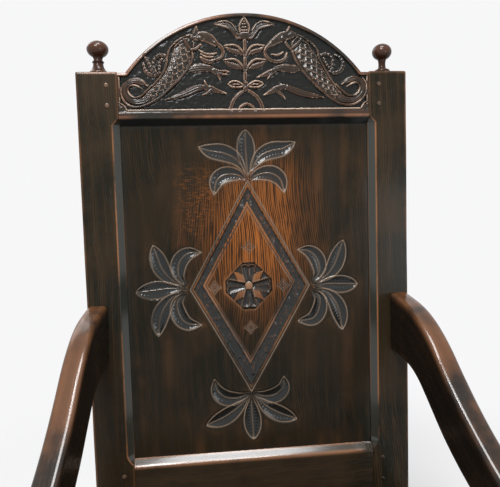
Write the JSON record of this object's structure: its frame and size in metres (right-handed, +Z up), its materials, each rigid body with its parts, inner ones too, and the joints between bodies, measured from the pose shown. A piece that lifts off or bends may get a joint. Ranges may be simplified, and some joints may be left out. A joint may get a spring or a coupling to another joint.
{
  "type": "wainscot chair",
  "caption": "Joined oak wainscot armchair with a raked panelled back, a carved arched crest rail, downswept arms on turned posts and a board seat.",
  "frame": {"origin": "on the floor, in the middle of the chair's footprint box", "axes": "+X to the right as one faces the chair, -Y towards the front of the seat, +Z up"},
  "size_m": [0.602, 0.584, 1.2082],
  "materials": {
    "oak_frame": "old waxed patina, worn to orange brown on the arrises",
    "oak_crest": "old waxed patina, dark in the sunk carving",
    "oak_panel": "waxed quarter-sawn oak, warm brown in the middle and nearly black at the edges",
    "oak_arm": "rubbed and polished by hands, darker below",
    "oak_seat": "worn and waxed",
    "oak_peg": "rubbed end grain"
  },
  "bodies": {
    "root": {"arm_left": "oak_arm", "arm_pegs": "oak_peg", "arm_right": "oak_arm", "back_bottom_rail": "oak_crest", "back_panel": "oak_panel", "bottom_rail_pegs": "oak_peg", "crest_rail": "oak_crest", "crest_rail_pegs": "oak_peg", "finials": "oak_frame", "front_post_left": "oak_frame", "front_post_right": "oak_frame", "rear_post_left": "oak_frame", "rear_post_right": "oak_frame", "seat_board_front": "oak_seat", "seat_board_pegs": "oak_peg", "seat_board_rear": "oak_seat", "seat_rail_front": "oak_frame", "seat_rail_left": "oak_frame", "seat_rail_pegs": "oak_peg", "seat_rail_rear": "oak_frame", "seat_rail_right": "oak_frame", "stretcher_front": "oak_frame", "stretcher_left": "oak_frame", "stretcher_pegs": "oak_peg", "stretcher_rear": "oak_frame", "stretcher_right": "oak_frame"}
  },
  "joints": []
}
